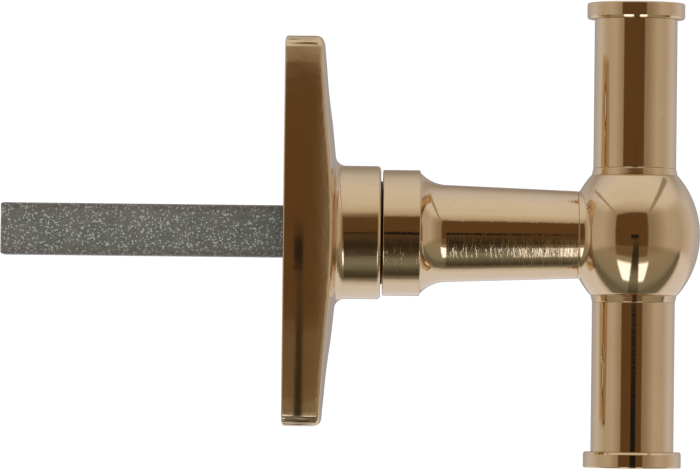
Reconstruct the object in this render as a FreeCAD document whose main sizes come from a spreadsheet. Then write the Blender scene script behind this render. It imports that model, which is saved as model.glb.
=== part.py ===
"""T-bar window handle on a small rose, with its square spindle and quarter-turn detent.

The origin is the middle of the rose's back face, on the spindle's axis.
+X points out of the window along that axis, +Z up along the rose and the T-bar.
"""

import FreeCAD, Part
import math
import os

import Sketcher

SIZES = {
    # How far a cut runs past the surface that it goes through.
    "cut_margin": 1.0,
    # Rose: a tapered plate with a hub. From the front, its long sides bulge like a barrel's.
    "rose_length": 52.6,
    "rose_width": 24.0,
    "rose_side_radius": 104.0,
    "rose_corner_round": 2.0,
    # The plate is cut from a larger blank, crowned across and thickest in the middle.
    "blank_length": 56.1,
    "blank_width": 26.0,
    "blank_behind": 1.0,
    "end_thickness": 5.2,
    "end_edge": 5.08,
    "shoulder_height": 11.0,
    "shoulder_thickness": 6.9,
    "shoulder_edge": 5.85,
    "middle_thickness": 7.45,
    "middle_edge": 6.5,
    "rose_front_round": 0.45,
    "rose_back_round": 0.2,
    "hub_radius": 9.05,
    "hub_end": 13.15,
    "hub_foot_round": 1.4,
    "hub_edge_round": 0.5,
    # Fixing screws of the rose.
    "fixing_spacing": 38.0,
    "fixing_hole_radius": 2.1,
    "fixing_sink_radius": 4.4,
    "fixing_sink_level": 6.6,
    # Mechanism bay in the back of the rose, and the plate that closes it.
    "bay_depth": 4.2,
    "spring_bay_width": 19.0,
    "spring_bay_height": 13.1,
    "flex_bay_width": 15.8,
    "flex_bay_height": 20.0,
    "cover_thickness": 1.0,
    "cover_width": 20.0,
    "cover_height": 31.8,
    "cover_corner": 2.0,
    "cover_gap": 0.1,
    "cover_bore": 5.3,
    "cover_screw_spacing": 26.0,
    "cover_screw_radius": 1.25,
    "cover_screw_head": 2.25,
    "cover_screw_reach": 4.8,
    "cover_screw_slot": 0.6,
    "cover_screw_hole_end": 5.1,
    # Flanged bush that the handle turns in.
    "flange_radius": 7.9,
    "flange_start": 5.45,
    "flange_end": 6.45,
    "bush_radius": 7.0,
    "bush_bore": 6.03,
    "bush_end": 13.37,
    # Neck: journal, collar, cove and taper.
    "journal_start": 3.3,
    "journal_radius": 6.0,
    "groove_start": 3.9,
    "groove_end": 4.9,
    "groove_radius": 5.6,
    "collar_start": 13.42,
    "collar_end": 18.5,
    "collar_radius": 8.55,
    "edge_break": 0.2,
    "cove_radius": 5.0,
    "neck_start": 22.3,
    "neck_start_radius": 6.58,
    "neck_end": 39.9,
    "neck_end_radius": 5.94,
    "socket_end": 30.0,
    "stud_hole_start": 32.0,
    # Spindle, its cross pin and the parts on the journal.
    "spindle_side": 7.0,
    "spindle_start": -38.3,
    "spindle_chamfer": 0.35,
    "pin_radius": 1.0,
    "pin_offset": 9.0,
    "pin_half_length": 5.9,
    "cam_start": 1.3,
    "cam_side": 12.0,
    "cam_corner_radius": 7.7,
    "spring_thickness": 0.5,
    "spring_half_length": 9.3,
    "spring_start": 1.4,
    "spring_end": 3.2,
    "spring_gap": 0.02,
    "ring_radius": 7.0,
    "ring_lug_radius": 1.15,
    "ring_lug_offset": 6.35,
    "ring_lug_hole": 0.5,
    "ring_gap": 1.2,
    "washer_radius": 7.55,
    "washer_end": 5.4,
    # Grip: ball, studs, foot rings, arms and end caps, around the T-bar's axis.
    "bar_offset": 47.6,
    "ball_half_height": 8.1,
    "ball_seat_radius": 5.95,
    "ball_profile_radius": 12.4,
    "boss_end": 41.4,
    "boss_flare": 7.0,
    "boss_flare_radius": 1.5,
    "stud_radius": 3.0,
    "stud_start": 32.4,
    "stud_end": 44.0,
    "foot_ring_end": 9.1,
    "arm_radius": 5.63,
    "arm_end": 29.4,
    "arm_bore": 4.0,
    "cap_radius": 6.65,
    "cap_end": 31.55,
    "cap_spigot_end": 25.4,
    "rod_half_length": 29.9,
    "rod_hole_end": 30.15,
    "fine_chamfer": 0.12,
}


class Size:
    """A length as the sheet's expression for it, together with its value."""

    def __init__(self, text, value):
        self.text = text
        self.value = value

    def __add__(self, other):
        return Size(f"({self.text} + {text_of(other)})", self.value + value_of(other))

    def __sub__(self, other):
        return Size(f"({self.text} - {text_of(other)})", self.value - value_of(other))

    def __mul__(self, factor):
        return Size(f"({self.text} * {text_of(factor)})", self.value * value_of(factor))

    def __truediv__(self, divisor):
        return Size(f"({self.text} / {text_of(divisor)})", self.value / value_of(divisor))

    def __neg__(self):
        return Size(f"(0 - {self.text})", -self.value)


def text_of(length):
    return length.text if isinstance(length, Size) else repr(length)


def value_of(length):
    return length.value if isinstance(length, Size) else length


def root(square):
    return Size(f"sqrt({square.text})", math.sqrt(square.value))


def driving_sheet(doc):
    """Writes every driving dimension to a named cell."""
    sheet = doc.addObject("Spreadsheet::Sheet", "Sizes")
    for row, (name, value) in enumerate(SIZES.items(), start=1):
        sheet.set(f"A{row}", name)
        sheet.set(f"B{row}", str(value))
        sheet.setAlias(f"B{row}", name)
    doc.recompute()
    return sheet


def size(name):
    return Size(f"Sizes.{name}", SIZES[name])


def bind(feature, prop, length):
    """Makes one property follow the sheet's cells."""
    feature.setExpression(prop, text_of(length))


# Sketches: each corner is (across, up), or (across, up, radius, turn) where an arc leads to it.
# A turn of 1 is anticlockwise and -1 clockwise.

LEFT_TURN = 1
RIGHT_TURN = -1


def plane_of(body, role):
    return next(item for item in body.Origin.OriginFeatures if item.Role == role)


def new_sketch(body, role, name, offset=None):
    sketch = body.newObject("Sketcher::SketchObject", name)
    sketch.AttachmentSupport = (plane_of(body, role), "")
    sketch.MapMode = "FlatFace"
    if offset is not None:
        bind(sketch, ".AttachmentOffset.Base.z", offset)
    return sketch


def arc_between(start, end, radius, turn):
    chord = end - start
    rise = math.sqrt(radius**2 - (chord.Length / 2) ** 2)
    side = FreeCAD.Vector(-chord.y, chord.x, 0).normalize()
    centre = start + chord / 2 + side * rise * turn
    first, last = (start, end) if turn == LEFT_TURN else (end, start)
    angles = [math.atan2(point.y - centre.y, point.x - centre.x) for point in (first, last)]
    circle = Part.Circle(centre, FreeCAD.Vector(0, 0, 1), radius)
    return Part.ArcOfCircle(circle, angles[0], angles[1])


def hold(sketch, kind, name, length, *where):
    """Adds one named dimension to a sketch and binds it to the sheet."""
    index = sketch.addConstraint(Sketcher.Constraint(kind, *where, value_of(length)))
    sketch.renameConstraint(index, name)
    if isinstance(length, Size):
        bind(sketch, f"Constraints.{name}", length)


def outline(sketch, corners):
    """Draws a closed chain of lines and arcs and places each corner by its own dimensions."""
    origin = -1
    points = [FreeCAD.Vector(value_of(c[0]), value_of(c[1]), 0) for c in corners]
    ends = []
    for index, corner in enumerate(corners):
        start, end = points[index - 1], points[index]
        if len(corner) == 2:
            edge = sketch.addGeometry(Part.LineSegment(start, end), False)
            ends.append((edge, 1, 2))
        else:
            radius, turn = corner[2], corner[3]
            edge = sketch.addGeometry(arc_between(start, end, value_of(radius), turn), False)
            ends.append((edge, 1, 2) if turn == LEFT_TURN else (edge, 2, 1))
            hold(sketch, "Radius", f"radius{edge}", radius, edge)
    for index, corner in enumerate(corners):
        edge, _, last = ends[index]
        following, first, _ = ends[(index + 1) % len(ends)]
        sketch.addConstraint(Sketcher.Constraint("Coincident", edge, last, following, first))
        hold(sketch, "DistanceX", f"across{edge}", corner[0], origin, 1, edge, last)
        hold(sketch, "DistanceY", f"up{edge}", corner[1], origin, 1, edge, last)


def circle(sketch, across, up, radius):
    centre = FreeCAD.Vector(value_of(across), value_of(up), 0)
    round_edge = Part.Circle(centre, FreeCAD.Vector(0, 0, 1), value_of(radius))
    edge = sketch.addGeometry(round_edge, False)
    hold(sketch, "Radius", f"radius{edge}", radius, edge)
    hold(sketch, "DistanceX", f"across{edge}", across, -1, 1, edge, 3)
    hold(sketch, "DistanceY", f"up{edge}", up, -1, 1, edge, 3)


def rectangle(half_across, half_up):
    return [
        (-half_across, -half_up),
        (half_across, -half_up),
        (half_across, half_up),
        (-half_across, half_up),
    ]


def rounded_rectangle(half_across, half_up, corner):
    inner_across, inner_up = half_across - corner, half_up - corner
    return [
        (-inner_across, -half_up, corner, LEFT_TURN),
        (inner_across, -half_up),
        (half_across, -inner_up, corner, LEFT_TURN),
        (half_across, inner_up),
        (inner_across, half_up, corner, LEFT_TURN),
        (-inner_across, half_up),
        (-half_across, inner_up, corner, LEFT_TURN),
        (-half_across, -inner_up),
    ]


def barrel(half_across, half_up, side, corner):
    """An upright outline with straight ends, bulging sides and rounded corners between them."""
    side_centre = half_across - side
    corner_up = half_up - corner
    reach = side - corner
    corner_run = root(reach * reach - corner_up * corner_up)
    corner_across = side_centre + corner_run
    touch_across = side_centre + corner_run * side / reach
    touch_up = corner_up * side / reach
    return [
        (-corner_across, -half_up, corner, LEFT_TURN),
        (corner_across, -half_up),
        (touch_across, -touch_up, corner, LEFT_TURN),
        (touch_across, touch_up, side, LEFT_TURN),
        (corner_across, half_up, corner, LEFT_TURN),
        (-corner_across, half_up),
        (-touch_across, touch_up, corner, LEFT_TURN),
        (-touch_across, -touch_up, side, LEFT_TURN),
    ]


# Features.

# How far an edge may lie from its nominal level and still be picked for rounding.
EDGE_SEARCH = 1.0


def new_body(doc, name):
    body = doc.addObject("PartDesign::Body", name)
    body.Label = name
    return body


def revolve(body, kind, name, sketch, axis):
    """Turns a sketch about its horizontal (X) or vertical (Z) axis, adding or cutting."""
    turned = body.newObject(f"PartDesign::{kind}", name)
    turned.Profile = sketch
    turned.ReferenceAxis = (sketch, [axis])
    turned.Angle = 360
    return turned


def turned_body(doc, name, corners, axis):
    """A body that is turned from one profile in the XZ plane."""
    body = new_body(doc, name)
    sketch = new_sketch(body, "XZ_Plane", f"{name}_profile")
    outline(sketch, corners)
    revolve(body, "Revolution", f"{name}_turned", sketch, axis)
    doc.recompute()
    return body


def pad(body, name, sketch, length):
    feature = body.newObject("PartDesign::Pad", name)
    feature.Profile = sketch
    bind(feature, "Length", length)
    return feature


def cut(body, name, sketch, depth):
    """Pockets a sketch on the YZ plane towards +X, and makes sure that metal was removed."""
    before = body.Shape.Volume
    pocket = body.newObject("PartDesign::Pocket", name)
    pocket.Profile = sketch
    pocket.Reversed = True
    bind(pocket, "Length", depth)
    body.Document.recompute()
    require_cut(body, name, before)


def cut_across(body, name, sketch):
    """Drills a sketch on the XZ plane right through the body."""
    before = body.Shape.Volume
    pocket = body.newObject("PartDesign::Pocket", name)
    pocket.Profile = sketch
    pocket.Type = "ThroughAll"
    pocket.SideType = "Symmetric"
    body.Document.recompute()
    require_cut(body, name, before)


def groove(body, name, corners):
    """Turns a profile in the XZ plane out of the body, about the X axis."""
    before = body.Shape.Volume
    sketch = new_sketch(body, "XZ_Plane", f"{name}_profile")
    outline(sketch, corners)
    revolve(body, "Groove", name, sketch, "H_Axis")
    body.Document.recompute()
    require_cut(body, name, before)


def require_cut(body, name, before):
    if body.Shape.Volume >= before:
        raise RuntimeError(f"{name} removed nothing")


def round_edges(body, name, radius, wanted):
    """Rounds the edges of the body's last feature that pass a test."""
    tip = body.Tip
    names = edge_names(tip.Shape, wanted)
    fillet = body.newObject("PartDesign::Fillet", name)
    fillet.Base = (tip, names)
    bind(fillet, "Radius", radius)
    body.Document.recompute()
    if "Invalid" in fillet.State or not fillet.Shape.isValid():
        raise RuntimeError(f"{name} failed on {names}")


def edge_names(shape, wanted):
    names = [f"Edge{index}" for index, edge in enumerate(shape.Edges, start=1) if wanted(edge)]
    if not names:
        raise RuntimeError("no edge passes the test")
    return names


def near(value, target, slack=0.02):
    return abs(value - target) < slack


# Rose and its mechanism.


def rose_section(body, name, level, edge, thickness):
    """One cross-section of the rose's blank: straight back and sides, and a crowned front."""
    back, half_width = -size("blank_behind"), size("blank_width") / 2
    crown = (thickness - edge).value
    crown_radius = (crown**2 + half_width.value**2) / (2 * crown)
    sketch = new_sketch(body, "XY_Plane", name, level)
    corners = [
        (back, -half_width),
        (edge, -half_width),
        (edge, half_width, crown_radius, LEFT_TURN),
        (back, half_width),
    ]
    outline(sketch, corners)
    return sketch


def rose_blank(doc):
    """The blank, lofted from its lower end over its thick middle to its upper end."""
    body = new_body(doc, "rose_plate")
    half_length = size("blank_length") / 2
    shoulder = size("shoulder_height")
    stations = [
        (-half_length, size("end_edge"), size("end_thickness")),
        (-shoulder, size("shoulder_edge"), size("shoulder_thickness")),
        (0.0, size("middle_edge"), size("middle_thickness")),
        (shoulder, size("shoulder_edge"), size("shoulder_thickness")),
        (half_length, size("end_edge"), size("end_thickness")),
    ]
    sections = []
    for index, (level, edge, thickness) in enumerate(stations):
        sections.append(rose_section(body, f"rose_section{index}", level, edge, thickness))
    loft = body.newObject("PartDesign::AdditiveLoft", "rose_loft")
    loft.Profile = sections[0]
    loft.Sections = sections[1:]
    loft.Ruled = False
    doc.recompute()
    return body


def trim_rose(body):
    """Cuts the blank to a flat back and the rose's barrel outline, and rounds both rims."""
    behind = size("blank_behind")
    back = new_sketch(body, "YZ_Plane", "rose_back_outline", -behind)
    outline(back, rectangle(size("blank_width"), size("blank_length")))
    cut(body, "rose_back", back, behind)
    frame = new_sketch(body, "YZ_Plane", "rose_outline")
    half_across, half_up = size("rose_width") / 2, size("rose_length") / 2
    outline(frame, rectangle(size("blank_width"), size("blank_length")))
    side, corner = size("rose_side_radius"), size("rose_corner_round")
    outline(frame, barrel(half_across, half_up, side, corner))
    cut(body, "rose_trim", frame, size("hub_end"))

    def is_front_rim(edge):
        return edge.BoundBox.XMin > SIZES["end_thickness"] - EDGE_SEARCH

    def is_back_rim(edge):
        return near(edge.BoundBox.XMax, 0.0)

    round_edges(body, "rose_front_rim", size("rose_front_round"), is_front_rim)
    round_edges(body, "rose_back_rim", size("rose_back_round"), is_back_rim)


def add_hub(body):
    hub_end, hub_radius = size("hub_end"), size("hub_radius")
    sketch = new_sketch(body, "XZ_Plane", "hub_profile")
    start = size("bay_depth")
    outline(sketch, [(start, 0.0), (hub_end, 0.0), (hub_end, hub_radius), (start, hub_radius)])
    revolve(body, "Revolution", "hub", sketch, "H_Axis")
    body.Document.recompute()

    def is_hub_foot(edge):
        box = edge.BoundBox
        low = box.XMin > SIZES["end_thickness"]
        low = low and box.XMax < SIZES["middle_thickness"] + EDGE_SEARCH
        return low and max(box.YMax, -box.YMin) < hub_radius.value + EDGE_SEARCH

    def is_hub_rim(edge):
        return near(edge.BoundBox.XMin, hub_end.value)

    round_edges(body, "hub_foot", size("hub_foot_round"), is_hub_foot)
    round_edges(body, "hub_rim", size("hub_edge_round"), is_hub_rim)


def cut_mechanism_bay(body):
    """Seat of the cover plate, bay of the springs, room for them to flex, and the bush's seat."""
    depth, gap = size("bay_depth"), size("cover_gap")
    past = size("hub_end") + size("cut_margin")
    seat = new_sketch(body, "YZ_Plane", "cover_seat_outline")
    half_across = size("cover_width") / 2 + gap
    half_up = size("cover_height") / 2 + gap
    outline(seat, rounded_rectangle(half_across, half_up, size("cover_corner")))
    cut(body, "cover_seat", seat, size("cover_thickness"))
    for name in ("spring_bay", "flex_bay"):
        bay = new_sketch(body, "YZ_Plane", f"{name}_outline")
        outline(bay, rectangle(size(f"{name}_width") / 2, size(f"{name}_height") / 2))
        cut(body, name, bay, depth)
    groove(
        body,
        "bush_seat",
        [
            (0.0, 0.0),
            (past, 0.0),
            (past, size("bush_radius")),
            (size("flange_end"), size("bush_radius")),
            (size("flange_end"), size("flange_radius")),
            (0.0, size("flange_radius")),
        ],
    )


def cut_fixing_holes(body):
    """Two countersunk holes above and below the hub, and two blind ones for the cover's screws."""
    hole, margin = size("fixing_hole_radius"), size("cut_margin")
    sink, level = size("fixing_sink_radius"), size("fixing_sink_level")
    blind_start, blind_end = size("cover_thickness"), size("cover_screw_hole_end")
    blind_radius = size("cover_screw_radius")
    for side, name in ((-1, "lower"), (1, "upper")):
        middle = size("fixing_spacing") / 2 * side
        drill(body, f"{name}_fixing_hole", middle, -margin, level + margin, hole)
        countersink(body, f"{name}_countersink", middle, level, sink)
        blind = size("cover_screw_spacing") / 2 * side
        drill(body, f"{name}_cover_screw_hole", blind, blind_start, blind_end, blind_radius)


def drill(body, name, level, start, end, radius):
    """Bores a round hole along X at a height above the axis."""
    sketch = new_sketch(body, "YZ_Plane", f"{name}_outline", start)
    circle(sketch, 0.0, level, radius)
    cut(body, name, sketch, end - start)


def countersink(body, name, level, surface, radius):
    """Turns a right-angled cone out of the front, about a screw's axis."""
    margin = size("cut_margin")
    past = surface + margin
    corners = [(surface - radius, level), (past, level), (past, level + radius + margin)]
    groove_about(body, name, corners, level, past)


def groove_about(body, name, corners, level, reach):
    """Turns a profile in the XZ plane out of the body, about a line along X at a height."""
    before = body.Shape.Volume
    sketch = new_sketch(body, "XZ_Plane", f"{name}_profile")
    outline(sketch, corners)
    start = FreeCAD.Vector(0, level.value, 0)
    end = FreeCAD.Vector(reach.value, level.value, 0)
    line = sketch.addGeometry(Part.LineSegment(start, end), True)
    sketch.addConstraint(Sketcher.Constraint("Horizontal", line))
    sketch.addConstraint(Sketcher.Constraint("PointOnObject", 0, 2, line))
    revolve(body, "Groove", name, sketch, "Axis0")
    body.Document.recompute()
    require_cut(body, name, before)


def make_rose_plate(doc):
    body = rose_blank(doc)
    trim_rose(body)
    add_hub(body)
    cut_mechanism_bay(body)
    cut_fixing_holes(body)
    return body


def make_journal_bush(doc):
    return turned_body(
        doc,
        "journal_bush",
        [
            (size("flange_start"), size("bush_bore")),
            (size("bush_end"), size("bush_bore")),
            (size("bush_end"), size("bush_radius")),
            (size("flange_end"), size("bush_radius")),
            (size("flange_end"), size("flange_radius")),
            (size("flange_start"), size("flange_radius")),
        ],
        "H_Axis",
    )


def make_cover_plate(doc):
    """Thin plate with the spindle's clearance hole and two countersunk screw holes."""
    body = new_body(doc, "cover_plate")
    thickness = size("cover_thickness")
    sketch = new_sketch(body, "YZ_Plane", "cover_outline")
    half_across, half_up = size("cover_width") / 2, size("cover_height") / 2
    outline(sketch, rounded_rectangle(half_across, half_up, size("cover_corner")))
    circle(sketch, 0.0, 0.0, size("cover_bore"))
    pad(body, "cover_pad", sketch, thickness)
    doc.recompute()
    screw, head = size("cover_screw_radius"), size("cover_screw_head")
    for side, name in ((-1, "lower"), (1, "upper")):
        level = size("cover_screw_spacing") / 2 * side
        corners = [(0.0, level), (thickness, level), (thickness, level + screw), (0.0, level + head)]
        groove_about(body, f"{name}_screw_hole", corners, level, thickness)
    return body


def make_cover_screws(doc):
    """Two slotted countersunk screws, as one group of separate solids."""
    screws = []
    thickness, screw_radius = size("cover_thickness"), size("cover_screw_radius")
    for side, name in ((-1, "lower"), (1, "upper")):
        level = size("cover_screw_spacing") / 2 * side
        head = doc.addObject("Part::Cone", f"{name}_screw_head")
        bind(head, "Radius1", size("cover_screw_head"))
        bind(head, "Radius2", screw_radius)
        bind(head, "Height", thickness)
        shank = doc.addObject("Part::Cylinder", f"{name}_screw_shank")
        bind(shank, "Radius", screw_radius)
        bind(shank, "Height", size("cover_screw_reach"))
        slot = doc.addObject("Part::Box", f"{name}_screw_slot")
        bind(slot, "Length", size("cover_screw_head") * 2)
        bind(slot, "Width", size("cover_screw_slot"))
        bind(slot, "Height", size("cover_screw_slot"))
        bind(slot, "Placement.Base.x", -size("cover_screw_head"))
        bind(slot, "Placement.Base.y", -size("cover_screw_slot") / 2)
        blank = doc.addObject("Part::Fuse", f"{name}_screw_blank")
        blank.Base = head
        blank.Tool = shank
        screw = doc.addObject("Part::Cut", f"{name}_cover_screw")
        screw.Base = blank
        screw.Tool = slot
        screw.Placement.Rotation = FreeCAD.Rotation(FreeCAD.Vector(0, 1, 0), 90)
        bind(screw, "Placement.Base.z", level)
        screws.append(screw)
    group = doc.addObject("Part::Compound", "cover_screws")
    group.Label = "cover_screws"
    group.Links = screws
    doc.recompute()
    return group


def make_detent_spring(doc, name, side):
    """A flat strip that spans the bay and lies on one flat of the cam."""
    body = new_body(doc, name)
    sketch = new_sketch(body, "YZ_Plane", f"{name}_outline", size("spring_start"))
    half_length, thickness = size("spring_half_length"), size("spring_thickness")
    low = size("cam_side") / 2 + size("spring_gap")
    high = low + thickness
    nose = thickness / 2
    corners = [
        (-(half_length - nose), low, nose, LEFT_TURN),
        (half_length - nose, low),
        (half_length, low + nose, nose, LEFT_TURN),
        (half_length - nose, high, nose, LEFT_TURN),
        (-(half_length - nose), high),
        (-half_length, low + nose, nose, LEFT_TURN),
    ]
    outline(sketch, corners)
    pad(body, f"{name}_pad", sketch, size("spring_end") - size("spring_start"))
    if side < 0:
        body.Placement = upside_down()
    doc.recompute()
    return body


def upside_down():
    return FreeCAD.Placement(FreeCAD.Vector(), FreeCAD.Rotation(FreeCAD.Vector(1, 0, 0), 180))


# Handle.


def make_handle_neck(doc):
    """Journal, collar, cove and tapered neck, with the spindle's socket and the stud's hole."""
    edge, journal = size("edge_break"), size("journal_radius")
    collar = size("collar_radius")
    fine = size("fine_chamfer")
    body = turned_body(
        doc,
        "handle_neck",
        [
            (size("journal_start"), 0.0),
            (size("stud_hole_start"), 0.0),
            (size("stud_hole_start"), size("stud_radius")),
            (size("neck_end"), size("stud_radius")),
            (size("neck_end"), size("neck_end_radius") - fine),
            (size("neck_end") - fine, size("neck_end_radius")),
            (size("neck_start"), size("neck_start_radius")),
            (size("collar_end"), collar - edge, size("cove_radius"), RIGHT_TURN),
            (size("collar_end") - edge, collar),
            (size("collar_start") + edge, collar),
            (size("collar_start"), collar - edge),
            (size("collar_start"), journal),
            (size("groove_end"), journal),
            (size("groove_end"), size("groove_radius")),
            (size("groove_start"), size("groove_radius")),
            (size("groove_start"), journal),
            (size("journal_start") + edge, journal),
            (size("journal_start"), journal - edge),
        ],
        "H_Axis",
    )
    socket = new_sketch(body, "YZ_Plane", "socket_outline", size("journal_start"))
    half_side = size("spindle_side") / 2
    outline(socket, rectangle(half_side, half_side))
    cut(body, "spindle_socket", socket, size("socket_end") - size("journal_start"))
    drill_pin_hole(body)
    return body


def drill_pin_hole(body):
    sketch = new_sketch(body, "XZ_Plane", f"{body.Label}_pin_outline")
    circle(sketch, size("pin_offset"), 0.0, size("pin_radius"))
    cut_across(body, f"{body.Label}_pin_hole", sketch)


def make_square_spindle(doc):
    body = new_body(doc, "square_spindle")
    sketch = new_sketch(body, "YZ_Plane", "spindle_outline", size("spindle_start"))
    half_side = size("spindle_side") / 2
    outline(sketch, rectangle(half_side, half_side))
    pad(body, "spindle_pad", sketch, size("socket_end") - size("spindle_start"))
    doc.recompute()

    def is_nose(edge):
        return near(edge.BoundBox.XMax, SIZES["spindle_start"])

    names = edge_names(body.Tip.Shape, is_nose)
    chamfer = body.newObject("PartDesign::Chamfer", "spindle_nose")
    chamfer.Base = (body.getObject("spindle_pad"), names)
    bind(chamfer, "Size", size("spindle_chamfer"))
    doc.recompute()
    drill_pin_hole(body)
    return body


def make_spindle_pin(doc):
    pin = doc.addObject("Part::Cylinder", "spindle_pin")
    pin.Label = "spindle_pin"
    bind(pin, "Radius", size("pin_radius"))
    bind(pin, "Height", size("pin_half_length") * 2)
    pin.Placement.Rotation = FreeCAD.Rotation(FreeCAD.Vector(1, 0, 0), 90)
    bind(pin, "Placement.Base.x", size("pin_offset"))
    bind(pin, "Placement.Base.y", size("pin_half_length"))
    doc.recompute()
    return pin


def make_detent_cam(doc):
    """Square cam with its corners turned off, and the spindle's square through it."""
    body = new_body(doc, "detent_cam")
    half, corner = size("cam_side") / 2, size("cam_corner_radius")
    reach = math.sqrt(corner.value**2 - half.value**2)
    sketch = new_sketch(body, "YZ_Plane", "cam_outline", size("cam_start"))
    outline(
        sketch,
        [
            (-reach, -half, corner, LEFT_TURN),
            (reach, -half),
            (half, -reach, corner, LEFT_TURN),
            (half, reach),
            (reach, half, corner, LEFT_TURN),
            (-reach, half),
            (-half, reach, corner, LEFT_TURN),
            (-half, -reach),
        ],
    )
    pad(body, "cam_pad", sketch, size("journal_start") - size("cam_start"))
    doc.recompute()
    socket = new_sketch(body, "YZ_Plane", "cam_socket_outline", size("cam_start"))
    half_side = size("spindle_side") / 2
    outline(socket, rectangle(half_side, half_side))
    cut(body, "cam_socket", socket, size("journal_start") - size("cam_start"))
    return body


def make_retaining_ring(doc):
    """Open ring with two lugs, in the journal's groove."""
    thickness = size("groove_end") - size("groove_start")

    def disc(name, radius, across, up):
        cylinder = doc.addObject("Part::Cylinder", name)
        bind(cylinder, "Radius", radius)
        bind(cylinder, "Height", thickness)
        cylinder.Placement.Rotation = FreeCAD.Rotation(FreeCAD.Vector(0, 1, 0), 90)
        bind(cylinder, "Placement.Base.x", size("groove_start"))
        bind(cylinder, "Placement.Base.y", across)
        bind(cylinder, "Placement.Base.z", up)
        return cylinder

    lug_across = size("ring_gap") / 2 + size("ring_lug_radius")
    lug_up = Size(
        f"sqrt({size('ring_lug_offset').text}^2 - {lug_across.text}^2)",
        math.sqrt(SIZES["ring_lug_offset"] ** 2 - lug_across.value**2),
    )
    nothing = 0.0
    solid = doc.addObject("Part::MultiFuse", "ring_blank")
    solid.Shapes = [
        disc("ring_disc", size("ring_radius"), nothing, nothing),
        disc("left_lug", size("ring_lug_radius"), -lug_across, lug_up),
        disc("right_lug", size("ring_lug_radius"), lug_across, lug_up),
    ]
    opening = doc.addObject("Part::Box", "ring_opening")
    bind(opening, "Length", thickness)
    bind(opening, "Width", size("ring_gap"))
    bind(opening, "Height", size("ring_lug_offset") + size("ring_lug_radius") * 2)
    bind(opening, "Placement.Base.x", size("groove_start"))
    bind(opening, "Placement.Base.y", -size("ring_gap") / 2)
    holes = doc.addObject("Part::MultiFuse", "ring_holes")
    holes.Shapes = [
        disc("ring_bore", size("groove_radius"), nothing, nothing),
        disc("left_lug_hole", size("ring_lug_hole"), -lug_across, lug_up),
        disc("right_lug_hole", size("ring_lug_hole"), lug_across, lug_up),
        opening,
    ]
    ring = doc.addObject("Part::Cut", "retaining_ring")
    ring.Label = "retaining_ring"
    ring.Base = solid
    ring.Tool = holes
    doc.recompute()
    return ring


def make_thrust_washer(doc):
    start, end = size("groove_end"), size("washer_end")
    bore, rim = size("journal_radius"), size("washer_radius")
    return turned_body(
        doc, "thrust_washer", [(start, bore), (end, bore), (end, rim), (start, rim)], "H_Axis"
    )


def make_neck_stud(doc):
    start, end = size("stud_start"), size("stud_end")
    fine, radius = size("edge_break") * 2, size("stud_radius")
    return turned_body(
        doc,
        "neck_stud",
        [
            (start, 0.0),
            (end, 0.0),
            (end, radius - fine),
            (end - fine, radius),
            (start + fine, radius),
            (start, radius - fine),
        ],
        "H_Axis",
    )


def make_grip_ball(doc):
    """Barrel-shaped ball around the T-bar's axis, with a flared boss towards the neck."""
    half_height, seat = size("ball_half_height"), size("ball_seat_radius")
    profile = size("ball_profile_radius")
    rod = size("stud_radius")
    body = turned_body(
        doc,
        "grip_ball",
        [
            (rod, -half_height),
            (seat, -half_height),
            (seat, half_height, profile, LEFT_TURN),
            (rod, half_height),
        ],
        "V_Axis",
    )
    bind(body, ".Placement.Base.x", size("bar_offset"))
    start = size("neck_end") - size("bar_offset")
    end = size("boss_end") - size("bar_offset")
    radius, fine = size("neck_end_radius"), size("fine_chamfer")
    boss = new_sketch(body, "XZ_Plane", "boss_profile")
    outline(
        boss,
        [
            (start, rod),
            (end, rod),
            (end, size("boss_flare")),
            (start + fine, radius, size("boss_flare_radius"), RIGHT_TURN),
            (start, radius - fine),
        ],
    )
    revolve(body, "Revolution", "neck_boss", boss, "H_Axis")
    doc.recompute()
    before_ball = start - size("cut_margin") * 2
    neck_seat = new_sketch(body, "YZ_Plane", "neck_seat_outline", before_ball)
    circle(neck_seat, 0.0, 0.0, radius)
    cut(body, "neck_seat", neck_seat, start - before_ball)
    hole = new_sketch(body, "YZ_Plane", "stud_hole_outline", start)
    circle(hole, 0.0, 0.0, rod)
    cut(body, "stud_hole", hole, size("stud_end") + size("edge_break") - size("neck_end"))
    return body


def make_tie_rod(doc):
    length, radius = size("rod_half_length"), size("stud_radius")
    fine = size("edge_break") * 2
    body = turned_body(
        doc,
        "tie_rod",
        [
            (0.0, -length),
            (radius - fine, -length),
            (radius, -length + fine),
            (radius, length - fine),
            (radius - fine, length),
            (0.0, length),
        ],
        "V_Axis",
    )
    bind(body, ".Placement.Base.x", size("bar_offset"))
    return body


def grip_piece(doc, name, corners):
    """A piece turned about the T-bar's axis; the lower ones are the same piece turned over."""
    body = turned_body(doc, name, corners, "V_Axis")
    if name.startswith("lower"):
        body.Placement = upside_down()
    bind(body, ".Placement.Base.x", size("bar_offset"))
    doc.recompute()
    return body


def make_foot_ring(doc, side):
    start, end = size("ball_half_height"), size("foot_ring_end")
    bore, wide, narrow = size("stud_radius"), size("ball_seat_radius"), size("arm_radius")
    fine = size("fine_chamfer")
    return grip_piece(
        doc,
        f"{side}_foot_ring",
        [
            (bore, start),
            (wide - fine, start),
            (wide, start + fine),
            (narrow + fine, end - fine),
            (narrow, end),
            (bore, end),
        ],
    )


def make_arm(doc, side):
    start, end = size("foot_ring_end"), size("arm_end")
    bore, rim, fine = size("arm_bore"), size("arm_radius"), size("fine_chamfer")
    return grip_piece(
        doc,
        f"{side}_arm",
        [
            (bore, start),
            (rim - fine, start),
            (rim, start + fine),
            (rim, end - fine),
            (rim - fine, end),
            (bore, end),
        ],
    )


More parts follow.
